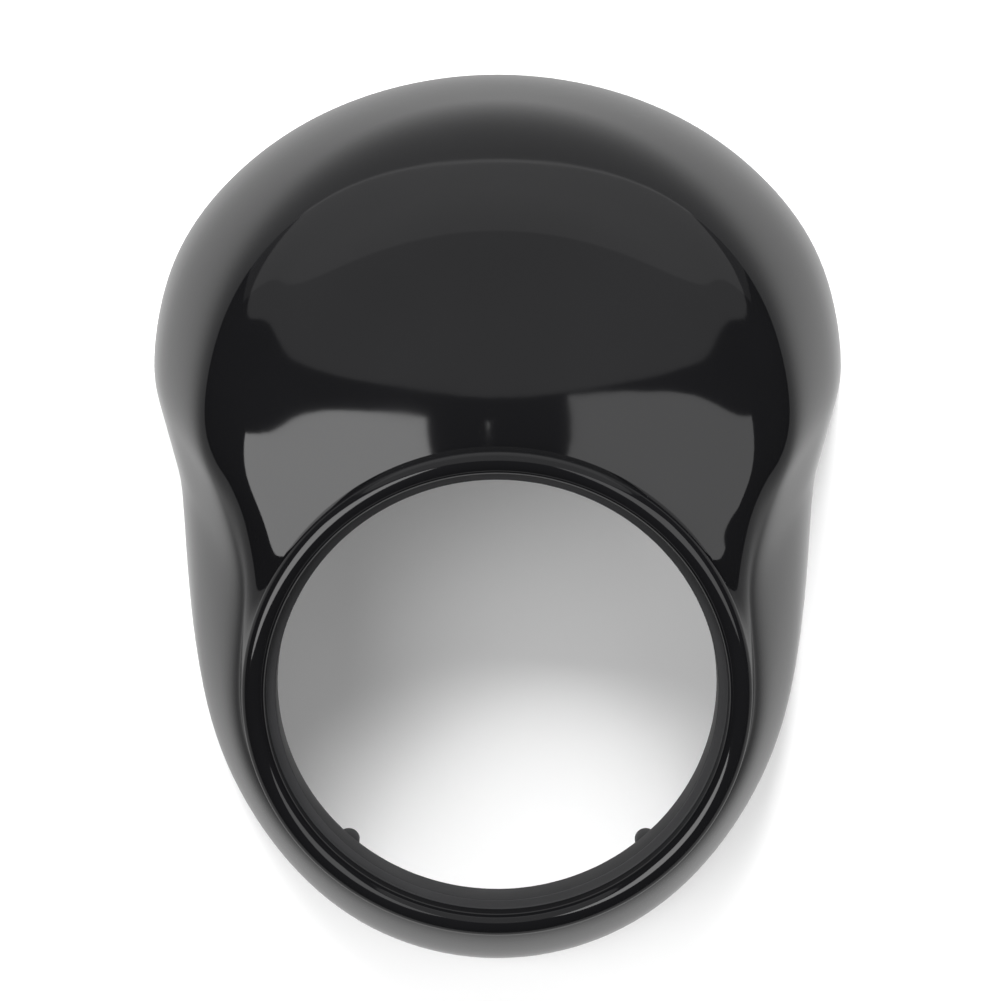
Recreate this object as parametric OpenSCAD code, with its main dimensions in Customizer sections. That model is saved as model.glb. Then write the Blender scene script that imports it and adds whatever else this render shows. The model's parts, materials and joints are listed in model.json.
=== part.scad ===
// Headlight cowl for a motorcycle: one moulded shell that carries a rolled lamp ring.
// Millimetres. The lamp looks along -Y, +Z is up, and the origin is the centre of the lamp seat.

/* [Lamp opening] */
// Diameter of the bore that the headlamp passes through
lamp_bore_d = 156; // [140:1:164]
// Length of the plain bore behind the seat
bore_len = 10.5; // [6:0.5:20]
// Width of the flat seat between the bore and the rolled ring
seat_w = 3.4; // [1.5:0.1:6]
// Width of the rolled ring, from its inner to its outer flank
ring_w = 8.2; // [5:0.2:14]
// How far the crown of the rolled ring stands in front of the seat
ring_rise = 8; // [5:0.5:14]

/* [Front face] */
// Half width of the face at its shoulders
face_shoulder_half = 103; // [95:1:112]
// Height of the face shoulders above the lamp axis
face_shoulder_up = 92; // [80:1:104]
// Height of the top of the face above the lamp axis
face_top = 209; // [190:1:220]
// Height of the face shoulders above the rear rim
face_shoulder_h = 134; // [120:1:142]
// Height of the top of the face above the rear rim
face_top_h = 100; // [80:1:115]
// Height above the lamp axis where the face narrows into the ring
face_waist_up = 19; // [5:1:35]
// How far the side walls start outside the ring
ring_margin = 3; // [1:0.5:8]
// How far the side walls start behind the lamp seat, beside and below the ring
wall_start = 13; // [9:0.5:20]
// How much the face is crowned along its middle
face_crown = 21; // [5:1:28]
// How much the face is crowned at its shoulders
shoulder_crown = 4; // [0:1:12]
// Half width of the soft crease beside the face, at the waist
crease_w = 9; // [6:1:16]
// Half width of the rounded crest at the top
crest_w = 40; // [20:1:50]

/* [Rear rim] */
// Lean of the rear rim behind the lamp seat, in degrees
rim_lean = 15; // [5:1:25]
// Distance from the centre of the lamp seat to the plane of the rear rim
rim_depth = 130; // [110:1:160]
// Top of the rim above the lamp axis
rim_top = 239; // [225:1:260]
// Bottom of the rim below the lamp axis
rim_bottom = 114.5; // [108:0.5:125]
// Half width of the rim at its shoulders
rim_shoulder_half = 137.5; // [130:0.5:150]
// Height of the rim shoulders above the lamp axis
rim_shoulder_up = 126; // [112:1:140]
// Half width of the rim at its waist
rim_waist_half = 125.5; // [118:0.5:135]
// Height of the rim waist above the lamp axis
rim_waist_up = 62; // [45:1:75]
// Fullness of the lower corners, where 2 is an ellipse
lower_fullness = 2.1; // [2:0.05:2.6]

/* [Wall] */
// Thickness of the moulded wall
wall = 3; // [2:0.1:4]

/* [Screw bosses] */
// Angle of each boss from the vertical through the lamp axis
boss_angle = 41; // [30:1:60]
// Outer diameter of each boss
boss_d = 8; // [6:0.5:8]
// Gap between the bosses and the straight path of the lamp
boss_clear = 0.6; // [0.4:0.1:1]
// How far each boss stands behind the end of the bore
boss_reach = 10; // [4:1:16]
// Diameter of the blind pilot hole for a self-tapping screw
pilot_d = 3.4; // [2.5:0.1:4]
// Depth of the pilot hole
pilot_depth = 12; // [8:1:13]

/* [Hidden] */

bore_r = lamp_bore_d / 2;
seat_r = bore_r + seat_w;
ring_r = seat_r + ring_w;
roll_r = ring_w / 2;
// The skirt behind the ring carries the shell and the bosses
skirt_len = 6;
collar_t = 3;
// The shell leaves the ring at its foot, and starts inside the ring at its root, as [inside the
// flank, behind the seat]: straight out under the face, and in line with the flank below
face_root = [3, 0.5];
wall_root = [1.2, -2];
face_foot = [-0.4, 1.5];
wall_foot = [-0.4, 4];

// Steps between the guide stations of one side: over the top, past the waist and round the bottom
up_steps = 5;
waist_steps = 3;
low_steps = 5;
last_station = up_steps + waist_steps + low_steps;
// The stations meet the round ring at these angles from its top
shoulder_angle = atan(face_shoulder_half / face_shoulder_up);
waist_angle = acos(face_waist_up / (ring_r + ring_margin));
// Facets between two stations and between two rows of the net
across = 3;
along = 2;
fit_passes = 12;

gloss_black = "#0c0c0e";

function mix(a, b, t) = a * (1 - t) + b * t;
function ease(t) = (1 - cos(180 * t)) / 2;
function unit(a) = a / norm(a);

// From the frame of the rear rim (across, up, height over the rim) to the frame of the lamp
function seen(p) = let (back = rim_depth - p[2])
    [p[0],
     p[1] * sin(rim_lean) + back * cos(rim_lean),
     p[1] * cos(rim_lean) - back * sin(rim_lean)];
rim_normal = [0, -cos(rim_lean), sin(rim_lean)];

// Where a station lies: 0 to 1 over the top, past the waist and round the bottom
function over(i) = min(i / up_steps, 1);
function past(i) = min(max((i - up_steps) / waist_steps, 0), 1);
function round_low(i) = max((i - up_steps - waist_steps) / low_steps, 0);

// A keyhole outline with shoulders and a waist, as [half width, height]
function outline(i, top, shoulder, waist, bottom, fullness) =
    i <= up_steps
    ? [shoulder[0] * sin(90 * over(i)),
       shoulder[1] + (top - shoulder[1]) * cos(90 * over(i))]
    : round_low(i) == 0
    ? [mix(shoulder[0], waist[0], ease(past(i))), mix(shoulder[1], waist[1], past(i))]
    : [waist[0] * pow(max(cos(90 * round_low(i)), 0), 2 / fullness),
       waist[1] - (waist[1] + bottom) * pow(sin(90 * round_low(i)), 2 / fullness)];

// Guide 1: circles round the lamp axis
function ring_angle(i) = i <= up_steps ? shoulder_angle * over(i)
    : i <= up_steps + waist_steps ? mix(shoulder_angle, waist_angle, past(i))
    : mix(waist_angle, 180, round_low(i));
function on_circle(i, r, back) = [r * sin(ring_angle(i)), back, r * cos(ring_angle(i))];
function at_flank(i, place) = on_circle(i, ring_r - place[0], place[1]);

// Guide 2: the crest, where the front face turns into the walls
function crest(i) = i <= up_steps
    ? let (p = outline(i, face_top, [face_shoulder_half, face_shoulder_up], [0, 0], 0, 2))
      seen([p[0], p[1], mix(face_shoulder_h, face_top_h, pow(cos(90 * over(i)), 2))])
    : let (shoulder = seen([face_shoulder_half, face_shoulder_up, face_shoulder_h]),
           low = on_circle(i, ring_r + ring_margin, wall_start),
           t = ease(past(i)))
      [mix(shoulder[0], low[0], t), mix(shoulder[1], low[1], t),
       i < up_steps + waist_steps ? mix(shoulder[2], low_start[2], past(i)) : low[2]];
low_start = on_circle(up_steps + waist_steps, ring_r + ring_margin, wall_start);

// Guide 3: the rear rim
function rim(i) = let (p = outline(i, rim_top, [rim_shoulder_half, rim_shoulder_up],
                                   [rim_waist_half, rim_waist_up], rim_bottom, lower_fullness))
    seen([p[0], p[1], 0]);

// How open a station is: 1 at the top, 0 where the wall starts at the ring
function openness(i) = i <= up_steps ? 1 : 1 - ease(past(i));
function crease(i) = mix(crease_w * (0.35 + 0.65 * openness(i)), crest_w, pow(cos(90 * over(i)), 2));
function toward(a, b, d) = a + unit(b - a) * d;

// One section of the net, from the ring to the rim
function section(i) =
    let (root = at_flank(i, mix(wall_root, face_root, openness(i))),
         foot = at_flank(i, mix(wall_foot, face_foot, openness(i))),
         top = crest(i), edge = rim(i),
         lift = rim_normal * openness(i)
                * mix(shoulder_crown, face_crown, pow(cos(90 * over(i)), 2)),
         inner = mix(foot, top, 0.3) + lift * 0.7,
         outer = mix(foot, top, 0.62) + lift,
         hold = crease(i))
    [root, foot, inner, outer,
     toward(top, outer, min(hold, norm(top - outer) * 0.6)), top, toward(top, edge, hold),
     mix(top, edge, 0.55), mix(top, edge, 0.8), edge];

function mirrored(p) = [-p[0], p[1], p[2]];
sections = concat([for (i = [0:last_station]) section(i)],
                  [for (i = [last_station - 1:-1:1]) [for (p = section(i)) mirrored(p)]]);
columns = len(sections);
rows = len(sections[0]);

// Control points whose closed B-spline passes through the points q
function through(q, c, passes) = passes == 0 ? c
    : through(q, [for (i = [0:len(q) - 1])
                  (6 * q[i] - c[(i + len(q) - 1) % len(q)] - c[(i + 1) % len(q)]) / 4],
              passes - 1);
loops = [for (j = [0:rows - 1]) let (q = [for (s = sections) s[j]]) through(q, q, fit_passes)];
// One more row past each end makes the surface reach its first and last rows
net = concat([2 * loops[0] - loops[1]], loops, [2 * loops[rows - 1] - loops[rows - 2]]);

// Cubic B-spline weights of four neighbours, and their slopes
function weights(t) = [pow(1 - t, 3), 3 * t * t * t - 6 * t * t + 4,
                       1 + 3 * t + 3 * t * t - 3 * t * t * t, t * t * t] / 6;
function slopes(t) = [-(1 - t) * (1 - t), 3 * t * t - 4 * t, 1 + 2 * t - 3 * t * t, t * t] / 2;
function blend(p, w) = p[0] * w[0] + p[1] * w[1] + p[2] * w[2] + p[3] * w[3];
function four_round(loop, k) = [for (d = [-1:2]) loop[(k + d + columns) % columns]];

steps_round = columns * across;
steps_down = (rows - 1) * along;
lines = [for (n = [0:steps_round - 1])
    let (k = floor(n / across), t = n / across - k, w = weights(t), s = slopes(t))
    [for (loop = net) let (p = four_round(loop, k)) [blend(p, w), blend(p, s)]]];
function at(line, m) =
    let (k = min(floor(m / along), rows - 2), t = m / along - k,
         four = [for (d = [0:3]) line[k + d]],
         w = weights(t),
         p = blend([for (f = four) f[0]], w),
         down = blend([for (f = four) f[0]], slopes(t)),
         turn = blend([for (f = four) f[1]], w))
    [p, unit(cross(turn, down))];
skin = [for (line = lines) [for (m = [0:steps_down]) at(line, m)]];

// The rim stays flat, so the wall is measured in its plane there
function inside(s, m) = m < steps_down ? s[0] - s[1] * wall
    : s[0] - unit(s[1] - rim_normal * (s[1] * rim_normal)) * wall;
outer_points = [for (line = skin) for (s = line) s[0]];
inner_points = [for (line = skin) for (m = [0:steps_down]) inside(line[m], m)];
per_line = steps_down + 1;
inner_from = steps_round * per_line;
function quad(a, b, c, d) = [[a, b, c], [a, c, d]];
function id(n, m) = (n % steps_round) * per_line + m;
shell_faces = [for (n = [0:steps_round - 1]) each concat(
    [for (m = [0:steps_down - 1]) each concat(
        quad(id(n, m), id(n, m + 1), id(n + 1, m + 1), id(n + 1, m)),
        quad(inner_from + id(n, m), inner_from + id(n + 1, m),
             inner_from + id(n + 1, m + 1), inner_from + id(n, m + 1)))],
    quad(id(n, 0), id(n + 1, 0), inner_from + id(n + 1, 0), inner_from + id(n, 0)),
    quad(id(n, steps_down), inner_from + id(n, steps_down),
         inner_from + id(n + 1, steps_down), id(n + 1, steps_down)))];

module moulded_shell() {
    polyhedron(concat(outer_points, inner_points), shell_faces, convexity = 6);
}

// Turns a section drawn as [radius, distance behind the seat] round the lamp axis
module around_lamp() {
    rotate([-90, 0, 0]) rotate_extrude($fn = 180) children();
}

module rolled_ring() {
    around_lamp() {
        translate([seat_r + roll_r, roll_r - ring_rise]) circle(roll_r, $fn = 48);
        translate([seat_r, roll_r - ring_rise]) square([ring_w, ring_rise - roll_r + skirt_len]);
        translate([bore_r, 0]) square([seat_w + 1, skirt_len]);
    }
}

module bore_collar() {
    around_lamp() translate([bore_r, 0]) square([collar_t, bore_len]);
}

// The bosses stand on the skirt, just outside the path of the lamp
boss_end = bore_len + boss_reach;
boss_root = 1;
boss_circle_r = bore_r + boss_clear + boss_d / 2;
module at_bosses() {
    for (sx = [-1, 1], sz = [-1, 1])
        translate([sx * boss_circle_r * sin(boss_angle), boss_end,
                   sz * boss_circle_r * cos(boss_angle)])
            rotate([90, 0, 0]) children();
}

module cowl_shell() {
    color(gloss_black) difference() {
        union() {
            moulded_shell();
            rolled_ring();
            bore_collar();
            at_bosses() cylinder(h = boss_end - boss_root, d = boss_d, $fn = 48);
        }
        at_bosses() translate([0, 0, -1]) cylinder(h = pilot_depth + 1, d = pilot_d, $fn = 32);
    }
}

cowl_shell();
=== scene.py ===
"""Looks of a gloss black headlight cowl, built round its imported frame. All sizes are metres."""

import json
import logging
import math
from dataclasses import dataclass, field
from enum import Enum

import bmesh
import bpy
from mathutils import Matrix, Vector


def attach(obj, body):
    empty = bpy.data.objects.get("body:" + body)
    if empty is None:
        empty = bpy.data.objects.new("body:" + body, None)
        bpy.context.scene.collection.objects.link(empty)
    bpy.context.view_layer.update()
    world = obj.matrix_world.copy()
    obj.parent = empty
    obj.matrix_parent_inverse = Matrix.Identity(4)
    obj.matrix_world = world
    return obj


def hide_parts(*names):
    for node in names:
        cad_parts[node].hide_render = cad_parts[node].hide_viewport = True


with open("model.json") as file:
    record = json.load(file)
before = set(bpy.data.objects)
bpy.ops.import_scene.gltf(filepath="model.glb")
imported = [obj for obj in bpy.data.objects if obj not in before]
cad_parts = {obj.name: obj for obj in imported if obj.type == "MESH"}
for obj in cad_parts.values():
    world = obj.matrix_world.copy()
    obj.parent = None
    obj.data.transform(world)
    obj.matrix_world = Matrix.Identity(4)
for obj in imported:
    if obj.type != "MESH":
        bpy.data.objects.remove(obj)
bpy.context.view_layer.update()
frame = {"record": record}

LOG = logging.getLogger("cowl")
BODY = "root"
NODE = "cowl_shell"
PICTURE_SIDE = 1001


class Side(Enum):
    """Which finish a face of the moulding has."""

    SHOWN = 0
    INSIDE = 1


@dataclass(frozen=True)
class MouldedFinish:
    """One finish of the moulded plastic: colour, gloss and a fine surface grain."""

    name: str
    colour: tuple[float, float, float]
    roughness_low: float
    roughness_high: float
    haze_scale: float
    grain_scale: float
    grain_depth: float
    grain_strength: float

    def material(self) -> bpy.types.Material:
        """Makes the finish as a procedural material.

        Returns:
            The material, which reads Object coordinates only.
        """
        made = bpy.data.materials.new(self.name)
        made.use_nodes = True
        nodes, links = made.node_tree.nodes, made.node_tree.links
        shader = nodes["Principled BSDF"]
        shader.inputs["IOR"].default_value = 1.5
        place = nodes.new("ShaderNodeTexCoord")
        self._vary_colour(nodes, links, place, shader)
        self._vary_gloss(nodes, links, place, shader)
        self._grain(nodes, links, place, shader)
        return made

    def _noise(
        self, nodes: bpy.types.Nodes, links: bpy.types.NodeLinks, place: bpy.types.Node,
        scale: float, detail: float,
    ) -> bpy.types.Node:
        """Adds a noise texture on Object coordinates.

        Args:
            nodes: The material's nodes.
            links: The material's links.
            place: The texture coordinate node.
            scale: Noise cells for each metre.
            detail: Octaves of the noise.

        Returns:
            The noise node.
        """
        noise = nodes.new("ShaderNodeTexNoise")
        noise.inputs["Scale"].default_value = scale
        noise.inputs["Detail"].default_value = detail
        links.new(place.outputs["Object"], noise.inputs["Vector"])
        return noise

    def _vary_colour(
        self, nodes: bpy.types.Nodes, links: bpy.types.NodeLinks, place: bpy.types.Node,
        shader: bpy.types.Node,
    ) -> None:
        """Lets the black drift a little, as pigment does in a moulding.

        Args:
            nodes: The material's nodes.
            links: The material's links.
            place: The texture coordinate node.
            shader: The material's surface shader.
        """
        noise = self._noise(nodes, links, place, self.haze_scale, 3.0)
        ramp = nodes.new("ShaderNodeValToRGB")
        low, high = ramp.color_ramp.elements
        low.position, high.position = 0.35, 0.7
        low.color = (*[c * 0.85 for c in self.colour], 1.0)
        high.color = (*[c * 1.15 for c in self.colour], 1.0)
        links.new(noise.outputs["Fac"], ramp.inputs["Fac"])
        links.new(ramp.outputs["Color"], shader.inputs["Base Color"])

    def _vary_gloss(
        self, nodes: bpy.types.Nodes, links: bpy.types.NodeLinks, place: bpy.types.Node,
        shader: bpy.types.Node,
    ) -> None:
        """Lets the gloss drift between its two roughness values.

        Args:
            nodes: The material's nodes.
            links: The material's links.
            place: The texture coordinate node.
            shader: The material's surface shader.
        """
        noise = self._noise(nodes, links, place, self.haze_scale * 2.3, 4.0)
        spread = nodes.new("ShaderNodeMapRange")
        spread.inputs["From Min"].default_value = 0.3
        spread.inputs["From Max"].default_value = 0.7
        spread.inputs["To Min"].default_value = self.roughness_low
        spread.inputs["To Max"].default_value = self.roughness_high
        links.new(noise.outputs["Fac"], spread.inputs["Value"])
        links.new(spread.outputs["Result"], shader.inputs["Roughness"])

    def _grain(
        self, nodes: bpy.types.Nodes, links: bpy.types.NodeLinks, place: bpy.types.Node,
        shader: bpy.types.Node,
    ) -> None:
        """Adds the fine relief of the moulded surface.

        Args:
            nodes: The material's nodes.
            links: The material's links.
            place: The texture coordinate node.
            shader: The material's surface shader.
        """
        noise = self._noise(nodes, links, place, self.grain_scale, 2.0)
        bump = nodes.new("ShaderNodeBump")
        bump.inputs["Strength"].default_value = self.grain_strength
        bump.inputs["Distance"].default_value = self.grain_depth
        links.new(noise.outputs["Fac"], bump.inputs["Height"])
        links.new(bump.outputs["Normal"], shader.inputs["Normal"])


GLOSS = MouldedFinish("gloss_black", (0.0045, 0.0045, 0.005), 0.045, 0.075, 9.0, 55.0, 0.0004, 0.05)
SATIN = MouldedFinish("moulded_inside", (0.016, 0.016, 0.017), 0.42, 0.55, 14.0, 1400.0, 0.0001, 0.35)


def mix(a: float | Vector, b: float | Vector, share: float) -> float | Vector:
    """Blends two numbers or vectors: share 0 gives a, 1 gives b."""
    return a * (1 - share) + b * share


def ease(share: float) -> float:
    """Turns a share from 0 to 1 into one that starts and ends gently."""
    return (1 - math.cos(math.pi * share)) / 2


@dataclass(frozen=True)
class RimFrame:
    """The frame of the rear rim: across, up along the rim, and height over it."""

    lean: float = math.radians(15)
    depth: float = 0.130

    def place(self, across: float, up: float, height: float) -> Vector:
        """Gives a point of the rim's frame in the frame of the lamp.

        Args:
            across: Distance to the right of the lamp axis.
            up: Distance up the rim's plane from the lamp axis.
            height: Distance in front of the rim's plane.

        Returns:
            The point in the row's frame.
        """
        back = self.depth - height
        sin, cos = math.sin(self.lean), math.cos(self.lean)
        return Vector((across, up * sin + back * cos, up * cos - back * sin))

    @property
    def normal(self) -> Vector:
        """The direction out of the rim's plane, towards the front."""
        return Vector((0, -math.cos(self.lean), math.sin(self.lean)))

    @property
    def upward(self) -> Vector:
        """The direction up the rim's plane."""
        return Vector((0, math.sin(self.lean), math.cos(self.lean)))

    def height(self, point: Vector) -> float:
        """The distance of a point in front of the rim's plane."""
        return (point - self.place(0, 0, 0)).dot(self.normal)


def mesh_object(name: str, bm: bmesh.types.BMesh) -> bpy.types.Object:
    """Turns a bmesh into a smooth object at the origin.

    Args:
        name: The piece's name.
        bm: The bmesh, which is freed.

    Returns:
        The new object, linked to the scene.
    """
    mesh = bpy.data.meshes.new(name)
    bm.to_mesh(mesh)
    bm.free()
    mesh.shade_smooth()
    made = bpy.data.objects.new(name, mesh)
    bpy.context.scene.collection.objects.link(made)
    return made


def dress(piece: bpy.types.Object, finishes: list[bpy.types.Material]) -> None:
    """Gives a piece its finishes and seats it on the body.

    Args:
        piece: The finished piece.
        finishes: The materials, in the order of Side.
    """
    for finish in finishes:
        piece.data.materials.append(finish)
    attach(piece, BODY)
    LOG.info("%s: %d faces", piece.name, len(piece.data.polygons))


@dataclass
class LampRing:
    """The rolled ring, the seat inside it and the collar of the bore."""

    bore_r: float
    bore_len: float
    seat_w: float = 0.0034
    ring_w: float = 0.0082
    ring_rise: float = 0.008
    skirt_len: float = 0.006
    collar_t: float = 0.003
    edge_r: float = 0.0004
    roll_share: float = 0.985
    steps: int = 256

    @property
    def seat_r(self) -> float:
        """Radius of the seat's outer edge."""
        return self.bore_r + self.seat_w

    @property
    def ring_r(self) -> float:
        """Radius of the ring's outer flank."""
        return self.seat_r + self.ring_w

    def _section(self, bm: bmesh.types.BMesh) -> None:
        """Draws the ring's section in the plane X = 0 and rounds its corners."""
        corners = [
            (self.bore_r, self.bore_len),
            (self.bore_r, 0.0),
            (self.seat_r, 0.0),
            (self.seat_r, -self.ring_rise),
            (self.ring_r, -self.ring_rise),
            (self.ring_r, self.skirt_len),
            (self.bore_r + self.collar_t, self.skirt_len),
            (self.bore_r + self.collar_t, self.bore_len),
        ]
        verts = [bm.verts.new((0, back, radius)) for radius, back in corners]
        bm.faces.new(verts)
        crown = [v for v in verts if v.co.y < -self.edge_r]
        others = [v for v in verts if v not in crown]
        for chosen, radius, segments in (
            (crown, self.ring_w / 2 * self.roll_share, 14),
            (others, self.edge_r, 3),
        ):
            bmesh.ops.bevel(
                bm, geom=chosen, offset=radius, offset_type="OFFSET", segments=segments,
                profile=0.5, affect="VERTICES", material=-1,
            )
        bmesh.ops.delete(bm, geom=bm.faces[:], context="FACES_ONLY")

    def build(self) -> bpy.types.Object:
        """Turns the section round the lamp axis.

        Returns:
            The ring, seat and collar as one closed piece.
        """
        bm = bmesh.new()
        self._section(bm)
        bmesh.ops.spin(
            bm, geom=bm.verts[:] + bm.edges[:], cent=(0, 0, 0), axis=(0, 1, 0),
            angle=math.tau, steps=self.steps, use_merge=True,
        )
        bmesh.ops.remove_doubles(bm, verts=bm.verts[:], dist=1e-6)
        bmesh.ops.recalc_face_normals(bm, faces=bm.faces[:])
        for face in bm.faces:
            centre = face.calc_center_median()
            radius = math.hypot(centre.x, centre.z)
            hidden = centre.y > -self.edge_r and radius < self.ring_r - self.edge_r
            face.material_index = (Side.INSIDE if hidden else Side.SHOWN).value
        return mesh_object("lamp_ring", bm)


@dataclass
class MouldedShell:
    """The lofted shell: front face, soft crease, side walls and rear rim."""

    ring: LampRing
    rim: RimFrame = field(default_factory=RimFrame)
    face_shoulder_half: float = 0.103
    face_shoulder_up: float = 0.092
    face_top: float = 0.209
    face_shoulder_h: float = 0.134
    face_top_h: float = 0.100
    face_waist_up: float = 0.019
    ring_margin: float = 0.003
    wall_start: float = 0.013
    face_crown: float = 0.021
    shoulder_crown: float = 0.004
    wall_swell: float = 0.006
    crease_w: float = 0.009
    crest_w: float = 0.040
    rim_top: float = 0.239
    rim_bottom: float = 0.1145
    rim_shoulder_half: float = 0.1375
    rim_shoulder_up: float = 0.126
    rim_waist_half: float = 0.1255
    rim_waist_up: float = 0.062
    lower_fullness: float = 2.1
    wall: float = 0.003
    edge_r: float = 0.0008
    up_steps: int = 5
    waist_steps: int = 3
    low_steps: int = 5
    fit_passes: int = 12
    smooth_levels: int = 3
    face_root: Vector = field(default_factory=lambda: Vector((0.003, 0.0005)))
    wall_root: Vector = field(default_factory=lambda: Vector((0.0012, -0.002)))
    face_foot: Vector = field(default_factory=lambda: Vector((-0.0004, 0.0015)))
    wall_foot: Vector = field(default_factory=lambda: Vector((-0.0004, 0.004)))

    def _over(self, station: int) -> float:
        """How far a station lies over the top, as an angle from the top."""
        return math.pi / 2 * min(station / self.up_steps, 1)

    def _past(self, station: int) -> float:
        """How far a station lies past the shoulders, from 0 to 1."""
        return min(max((station - self.up_steps) / self.waist_steps, 0), 1)

    def _below(self, station: int) -> float:
        """How far a station lies below the waist, as an angle."""
        return math.pi / 2 * max((station - self.up_steps - self.waist_steps) / self.low_steps, 0)

    def _openness(self, station: int) -> float:
        """1 where the front face is wide, 0 where the wall starts at the ring."""
        return 1 - ease(self._past(station))

    def _at_flank(self, station: int, place: Vector) -> Vector:
        """A point near the ring's flank.

        Args:
            station: The station round the cowl, 0 at the top.
            place: How far inside the flank and behind the seat the point lies.

        Returns:
            The point.
        """
        shoulder = math.atan2(self.face_shoulder_half, self.face_shoulder_up)
        waist = math.acos(self.face_waist_up / (self.ring.ring_r + self.ring_margin))
        share = self._past(station)
        if share == 0:
            angle = shoulder * station / self.up_steps
        elif self._below(station) == 0:
            angle = mix(shoulder, waist, share)
        else:
            angle = mix(waist, math.pi, self._below(station) / (math.pi / 2))
        radius = self.ring.ring_r - place.x
        return Vector((radius * math.sin(angle), place.y, radius * math.cos(angle)))

    def _crest(self, station: int) -> Vector:
        """The point where the front face turns into the walls."""
        over = self._over(station)
        if self._past(station) == 0:
            height = mix(self.face_shoulder_h, self.face_top_h, math.cos(over) ** 2)
            up = mix(self.face_shoulder_up, self.face_top, math.cos(over))
            return self.rim.place(self.face_shoulder_half * math.sin(over), up, height)
        start = Vector((-self.ring_margin, self.wall_start))
        low = self._at_flank(station, start)
        if self._below(station) > 0:
            return low
        first = self._at_flank(self.up_steps + self.waist_steps, start)
        shoulder = self.rim.place(
            self.face_shoulder_half, self.face_shoulder_up, self.face_shoulder_h
        )
        point = mix(shoulder, low, ease(self._past(station)))
        point.z = mix(shoulder.z, first.z, self._past(station))
        return point

    def _edge(self, station: int) -> Vector:
        """The point of the rear rim: an arch, a waist and a full lower curve."""
        over, below = self._over(station), self._below(station)
        if self._past(station) == 0:
            across = self.rim_shoulder_half * math.sin(over)
            up = mix(self.rim_shoulder_up, self.rim_top, math.cos(over))
        elif below == 0:
            share = self._past(station)
            across = mix(self.rim_shoulder_half, self.rim_waist_half, ease(share))
            up = mix(self.rim_shoulder_up, self.rim_waist_up, share)
        else:
            power = 2 / self.lower_fullness
            across = self.rim_waist_half * max(math.cos(below), 0) ** power
            up = mix(self.rim_waist_up, -self.rim_bottom, math.sin(below) ** power)
        return self.rim.place(across, up, 0)

    def _swell(self, station: int, wall: Vector) -> Vector:
        """How far the wall swells out of the straight line from crest to rim.

        Args:
            station: The station round the cowl, 0 at the top.
            wall: The way from the crest to the rim.

        Returns:
            The swell in the rim's plane, none at the top.
        """
        outward = wall - self.rim.normal * wall.dot(self.rim.normal)
        return outward.normalized() * self.wall_swell * math.sin(self._over(station)) ** 2

    def _section(self, station: int) -> list[Vector]:
        """The net's points from the ring to the rim at one station."""
        openness = self._openness(station)
        root = self._at_flank(station, mix(self.wall_root, self.face_root, openness))
        foot = self._at_flank(station, mix(self.wall_foot, self.face_foot, openness))
        top, edge = self._crest(station), self._edge(station)
        crown = mix(self.shoulder_crown, self.face_crown, math.cos(self._over(station)) ** 2)
        lift = self.rim.normal * crown * openness
        inner = mix(foot, top, 0.3) + lift * 0.7
        outer = mix(foot, top, 0.62) + lift
        side_hold = self.crease_w * (0.35 + 0.65 * openness)
        hold = mix(side_hold, self.crest_w, math.cos(self._over(station)) ** 2)
        before = top + (outer - top).normalized() * min(hold, (top - outer).length * 0.6)
        after = top + (edge - top).normalized() * hold
        swell = self._swell(station, edge - top)
        return [root, foot, inner, outer, before, top, after + swell * 0.8,
                mix(top, edge, 0.55) + swell, mix(top, edge, 0.8) + swell * 0.5, edge]

    def _through(self, points: list[Vector]) -> list[Vector]:
        """Control points whose closed spline passes through the given points.

        Args:
            points: The points of one closed guide.

        Returns:
            As many control points.
        """
        found = points
        count = len(points)
        for _ in range(self.fit_passes):
            found = [
                (points[i] * 6 - found[i - 1] - found[(i + 1) % count]) / 4 for i in range(count)
            ]
        return found

    def _loops(self) -> list[list[Vector]]:
        """The control loops of the net, from the ring to the rim."""
        last = self.up_steps + self.waist_steps + self.low_steps
        half = [self._section(station) for station in range(last + 1)]
        flip = Matrix.Scale(-1, 3, (1, 0, 0))
        other = [[flip @ p for p in section] for section in half[-2:0:-1]]
        return [self._through(list(row)) for row in zip(*(half + other))]

    def _loft(self, bm: bmesh.types.BMesh) -> None:
        """Extrudes a circle from loop to loop of the control net."""
        loops = self._loops()
        count = len(loops[0])
        around = bmesh.ops.create_circle(bm, cap_ends=False, segments=count, radius=1)["verts"]
        for number, loop in enumerate(loops):
            if number:
                edges = [bm.edges.get((around[i - 1], around[i])) for i in range(count)]
                grown = bmesh.ops.extrude_edge_only(bm, edges=edges)["geom"]
                fresh = {g for g in grown if isinstance(g, bmesh.types.BMVert)}
                around = [
                    next(e.other_vert(v) for e in v.link_edges if e.other_vert(v) in fresh)
                    for v in around
                ]
            for vert, point in zip(around, loop):
                vert.co = point

    def _smoothed(self, bm: bmesh.types.BMesh) -> bmesh.types.BMesh:
        """Gives the smooth surface of a control net.

        Args:
            bm: The net, which is freed.

        Returns:
            The subdivided surface as a new bmesh.
        """
        cage = mesh_object("shell_net", bm)
        smoother = cage.modifiers.new("smooth", "SUBSURF")
        smoother.levels = smoother.render_levels = self.smooth_levels
        made = bmesh.new()
        made.from_object(cage, bpy.context.evaluated_depsgraph_get())
        bpy.data.objects.remove(cage)
        return made

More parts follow.
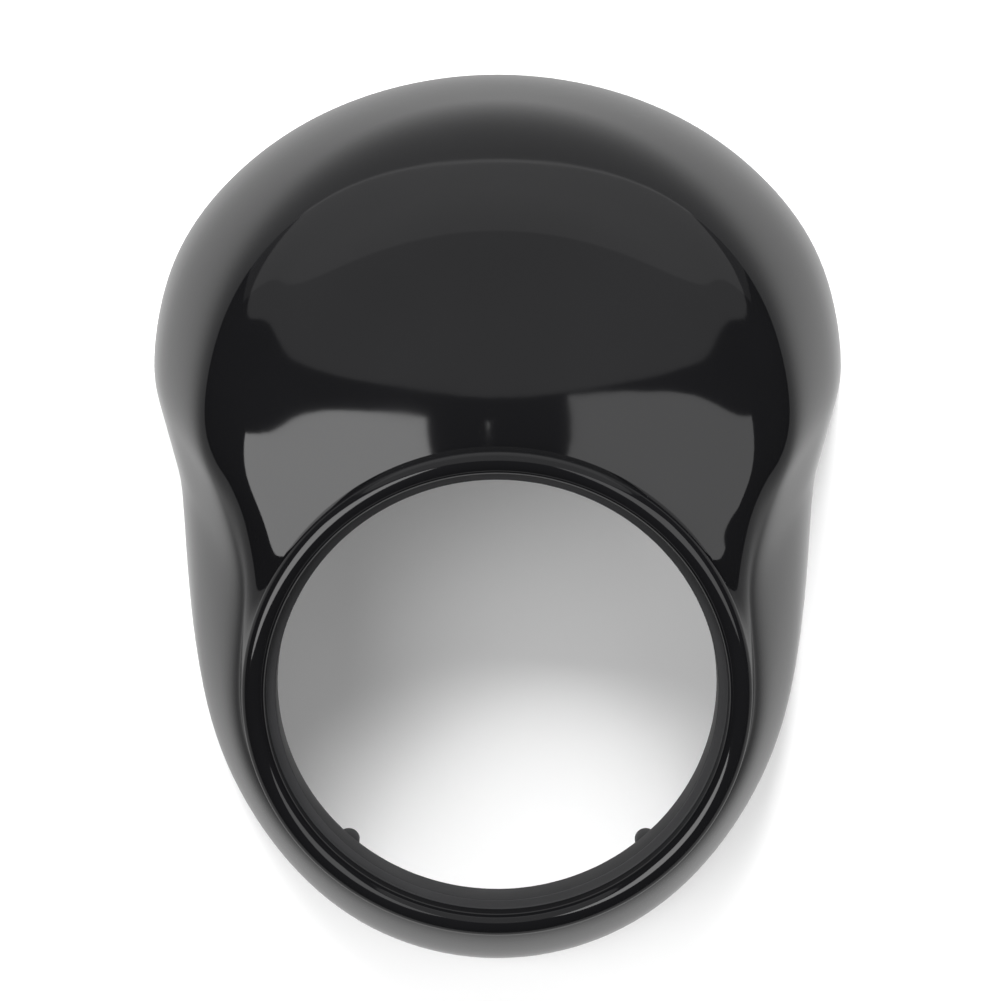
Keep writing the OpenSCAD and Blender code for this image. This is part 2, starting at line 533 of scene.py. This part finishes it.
    def build(self) -> bpy.types.Object:
        """Lofts, smooths and thickens the shell, and rounds its rim.

        Returns:
            The shell as one closed piece.
        """
        net = bmesh.new()
        self._loft(net)
        bm = self._smoothed(net)
        bmesh.ops.recalc_face_normals(bm, faces=bm.faces[:])
        highest = max(bm.faces, key=lambda f: f.calc_center_median().z)
        if highest.normal.z < 0:
            bmesh.ops.reverse_faces(bm, faces=bm.faces[:])
        outside = set(bm.faces)
        bmesh.ops.solidify(bm, geom=bm.faces[:], thickness=self.wall)
        for vert in bm.verts:
            below = self.rim.height(vert.co)
            if below < 0:
                vert.co -= self.rim.normal * below
        bmesh.ops.recalc_face_normals(bm, faces=bm.faces[:])
        for face in bm.faces:
            face.material_index = (Side.SHOWN if face in outside else Side.INSIDE).value
        self._round_rim(bm)
        return mesh_object("moulded_shell", bm)

    def _round_rim(self, bm: bmesh.types.BMesh) -> None:
        """Rounds both edges of the rear rim."""
        near, sharp = 1e-5, math.radians(40)
        edges = [
            e for e in bm.edges
            if all(abs(self.rim.height(v.co)) < near for v in e.verts)
            and len(e.link_faces) == 2 and e.calc_face_angle(0) > sharp
        ]
        bmesh.ops.bevel(
            bm, geom=edges, offset=self.edge_r, offset_type="OFFSET", segments=3,
            profile=0.5, affect="EDGES", material=-1, clamp_overlap=True,
        )


@dataclass
class ScrewBosses:
    """The bosses behind the ring, each with a blind pilot hole."""

    span_x: float
    span_z: float
    end: float
    pilot_r: float
    boss_r: float = 0.004
    root: float = 0.001
    pilot_depth: float = 0.012
    edge_r: float = 0.0005
    segments: int = 48

    def _boss(self, bm: bmesh.types.BMesh, x: float, z: float) -> None:
        """Adds one boss with its hole.

        Args:
            bm: The bmesh that takes the boss.
            x: Place across the cowl.
            z: Place up the cowl.
        """
        length = self.end - self.root
        turn = Matrix.Rotation(math.radians(-90), 4, "X")
        place = Matrix.Translation((x, self.root + length / 2, z)) @ turn
        made = bmesh.ops.create_cone(
            bm, cap_ends=True, segments=self.segments, radius1=self.boss_r,
            radius2=self.boss_r, depth=length, matrix=place,
        )["verts"]
        mouth = max({f for v in made for f in v.link_faces},
                    key=lambda f: f.calc_center_median().y)
        rim = mouth.edges[:]
        bmesh.ops.inset_region(bm, faces=[mouth], thickness=self.boss_r - self.pilot_r)
        hole = bmesh.ops.extrude_discrete_faces(bm, faces=[mouth])["faces"]
        sunk = [v for f in hole for v in f.verts]
        bmesh.ops.translate(bm, verts=sunk, vec=(0, -self.pilot_depth, 0))
        bmesh.ops.bevel(
            bm, geom=rim, offset=self.edge_r, offset_type="OFFSET", segments=3,
            profile=0.5, affect="EDGES", material=-1,
        )

    def build(self) -> bpy.types.Object:
        """Makes the bosses as one piece.

        Returns:
            The bosses.
        """
        bm = bmesh.new()
        for x in (-self.span_x / 2, self.span_x / 2):
            for z in (-self.span_z / 2, self.span_z / 2):
                self._boss(bm, x, z)
        bmesh.ops.recalc_face_normals(bm, faces=bm.faces[:])
        for face in bm.faces:
            face.material_index = Side.INSIDE.value
        return mesh_object("screw_bosses", bm)


@dataclass(frozen=True)
class Panel:
    """A soft light that stands over the rim's plane and looks at the cowl."""

    name: str
    place: tuple[float, float, float]
    target: tuple[float, float, float]
    size: tuple[float, float]
    strength: float
    shape: str = "RECTANGLE"
    mirrored: bool = True

    def build(self, rim: RimFrame) -> None:
        """Adds the light.

        Args:
            rim: The frame in which the panel's place is given.
        """
        data = bpy.data.lights.new(self.name, "AREA")
        data.shape = self.shape
        data.size, data.size_y = self.size
        data.energy = self.strength * self.size[0] * self.size[1] * math.pi
        lamp = bpy.data.objects.new(self.name, data)
        lamp.visible_camera = False
        lamp.visible_glossy = self.mirrored
        lamp.location = rim.place(*self.place)
        aim = rim.place(*self.target) - lamp.location
        lamp.rotation_mode = "QUATERNION"
        lamp.rotation_quaternion = aim.to_track_quat("-Z", "Y")
        bpy.context.scene.collection.objects.link(lamp)


@dataclass
class Studio:
    """The pale table that the rear rim lies on, the lights and the camera."""

    rim: RimFrame
    camera_up: float = 0.0683
    camera_across: float = 0.0012
    camera_height: float = 1.078
    focal_pixels: float = 2693.0
    table_side: float = 6.0
    table_gap: float = 0.0005
    table_colour: float = 0.95
    table_glow: float = 0.06
    # painted reflection: strengths of a glow the table shows only in reflections, one near the cowl
    # and one everywhere, and how fast the near one fades
    painted_reflection_near: float = 0.35
    painted_reflection_far: float = 0.42
    painted_reflection_reach: float = 0.02
    room_light: float = 0.3
    room_mirror: float = 0.02
    panels: tuple[Panel, ...] = (
        Panel("left_softbox", (-0.52, -0.10, 1.05), (-0.05, 0.12, 0.15), (0.68, 0.7), 4.0),
        Panel("right_softbox", (0.56, -0.02, 1.05), (0.05, 0.12, 0.15), (0.75, 0.7), 1.6),
        Panel("lens_lamp", (-0.023, 0.166, 1.08), (0, 0.1, 0.15), (0.006, 0.006), 5.0, "DISK"),
        Panel("far_wall", (0.0, 1.4, 0.95), (0, 0.15, 0.15), (2.7, 3.6), 0.36, "ELLIPSE"),
        Panel("rear_wall", (0.0, 2.0, 0.55), (0, 0.15, 0.15), (3.9, 1.1), 0.18),
        Panel("top_key", (-0.12, 0.85, 1.25), (0, 0, 0), (0.5, 0.5), 36.0, mirrored=False),
        Panel("low_fill", (0.7, -0.9, 0.5), (0.1, -0.1, 0), (0.8, 0.5), 6.5, mirrored=False),
    )

    def camera(self) -> None:
        """Adds the camera, square to the rim's plane as in the photograph."""
        data = bpy.data.cameras.new("camera")
        data.lens = data.sensor_width * self.focal_pixels / PICTURE_SIDE
        data.clip_end = 20.0
        view = bpy.data.objects.new("camera", data)
        back = self.rim.normal
        up = self.rim.upward
        right = up.cross(back)
        turn = Matrix((right, up, back)).transposed().to_4x4()
        place = self.rim.place(self.camera_across, self.camera_up, self.camera_height)
        view.matrix_world = Matrix.Translation(place) @ turn
        bpy.context.scene.collection.objects.link(view)
        bpy.context.scene.camera = view

    def table(self) -> None:
        """Adds the table as a plain backdrop that is clear from behind."""
        bm = bmesh.new()
        bmesh.ops.create_grid(bm, x_segments=1, y_segments=1, size=self.table_side / 2)
        turn = Matrix((Vector((1, 0, 0)), self.rim.upward, self.rim.normal)).transposed()
        place = self.rim.place(0, 0, -self.table_gap)
        bmesh.ops.transform(bm, matrix=Matrix.Translation(place) @ turn.to_4x4(), verts=bm.verts[:])
        top = mesh_object("table", bm)
        top.data.materials.append(self._table_finish())

    def _table_finish(self) -> bpy.types.Material:
        """Pale matt table: a little glow for the camera, and a painted reflection: a glow seen only
        in reflections, brightest close to the cowl.

        Returns:
            The table's material, which is clear from behind.
        """
        made = bpy.data.materials.new("pale_table")
        made.use_nodes = True
        nodes, links = made.node_tree.nodes, made.node_tree.links
        nodes.clear()

        def reckon(
            operation: str, first: float | bpy.types.NodeSocket, second: float | bpy.types.NodeSocket
        ) -> bpy.types.NodeSocket:
            """Adds a sum of two sockets or numbers and gives its result."""
            node = nodes.new("ShaderNodeMath")
            node.operation = operation
            for value, socket in zip((first, second), node.inputs):
                if isinstance(value, bpy.types.NodeSocket):
                    links.new(value, socket)
                else:
                    socket.default_value = value
            return node.outputs[0]

        path = nodes.new("ShaderNodeLightPath")
        # painted reflection: the table glows only in reflections, more where the reflected ray is
        # short, so the walls near the rim show a painted bright band
        way = reckon("DIVIDE", path.outputs["Ray Length"], -self.painted_reflection_reach)
        painted_reflection_fade = reckon("POWER", math.e, way)
        mirrored = reckon("ADD", reckon("MULTIPLY", painted_reflection_fade, self.painted_reflection_near), self.painted_reflection_far)
        camera_glow_and_painted_reflection = nodes.new("ShaderNodeEmission")
        links.new(
            reckon(
                "ADD",
                reckon("MULTIPLY", path.outputs["Is Camera Ray"], self.table_glow),
                reckon("MULTIPLY", path.outputs["Is Glossy Ray"], mirrored),
            ),
            camera_glow_and_painted_reflection.inputs["Strength"],
        )
        # in reflections the table's lit colour is taken out, so reflections show only the painted
        # glow
        matt = nodes.new("ShaderNodeBsdfDiffuse")
        links.new(
            reckon(
                "MULTIPLY", self.table_colour,
                reckon("SUBTRACT", 1.0, path.outputs["Is Glossy Ray"]),
            ),
            matt.inputs["Color"],
        )
        front = nodes.new("ShaderNodeAddShader")
        links.new(matt.outputs[0], front.inputs[0])
        links.new(camera_glow_and_painted_reflection.outputs[0], front.inputs[1])
        clear = nodes.new("ShaderNodeBsdfTransparent")
        side = nodes.new("ShaderNodeNewGeometry")
        both = nodes.new("ShaderNodeMixShader")
        links.new(side.outputs["Backfacing"], both.inputs["Fac"])
        links.new(front.outputs[0], both.inputs[1])
        links.new(clear.outputs[0], both.inputs[2])
        out = nodes.new("ShaderNodeOutputMaterial")
        links.new(both.outputs[0], out.inputs["Surface"])
        return made

    def room(self) -> None:
        """Sets the world: white to the camera, dim in reflections, soft as light."""
        world = bpy.data.worlds.new("room")
        bpy.context.scene.world = world
        world.use_nodes = True
        nodes, links = world.node_tree.nodes, world.node_tree.links
        ground = nodes["Background"]
        path = nodes.new("ShaderNodeLightPath")
        dim = nodes.new("ShaderNodeMix")
        dim.inputs["A"].default_value = self.room_light
        dim.inputs["B"].default_value = self.room_mirror
        links.new(path.outputs["Is Glossy Ray"], dim.inputs["Factor"])
        bright = nodes.new("ShaderNodeMix")
        bright.inputs["B"].default_value = 1.0
        links.new(path.outputs["Is Camera Ray"], bright.inputs["Factor"])
        links.new(dim.outputs["Result"], bright.inputs["A"])
        links.new(bright.outputs["Result"], ground.inputs["Strength"])
        ground.inputs["Color"].default_value = (1, 1, 1, 1)

    def build(self) -> None:
        """Sets up the table, the room, the lights and the camera."""
        self.camera()
        self.table()
        self.room()
        for panel in self.panels:
            panel.build(self.rim)
        bpy.context.scene.view_settings.view_transform = "Standard"


def main() -> None:
    """Builds the cowl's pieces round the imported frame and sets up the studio."""
    logging.basicConfig(level=logging.INFO, format="%(message)s")
    mounts = {m["name"]: m for m in frame["record"]["mounts"]}
    bore, bosses = mounts["lamp_opening"]["dims"], mounts["bracket_bosses"]
    ring = LampRing(bore["r_mm"] / 1000, bore["length_mm"] / 1000)
    shell = MouldedShell(ring)
    screws = ScrewBosses(
        span_x=bosses["dims"]["spacing_x_mm"] / 1000,
        span_z=bosses["dims"]["spacing_y_mm"] / 1000,
        end=bosses["pos_m"][1],
        pilot_r=bosses["dims"]["hole_r_mm"] / 1000,
    )
    finishes = [GLOSS.material(), SATIN.material()]
    pieces = [part.build() for part in (shell, ring, screws)]
    for piece in pieces:
        dress(piece, finishes)
        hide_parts(NODE)
    Studio(shell.rim).build()


if __name__ == "__main__":
    main()
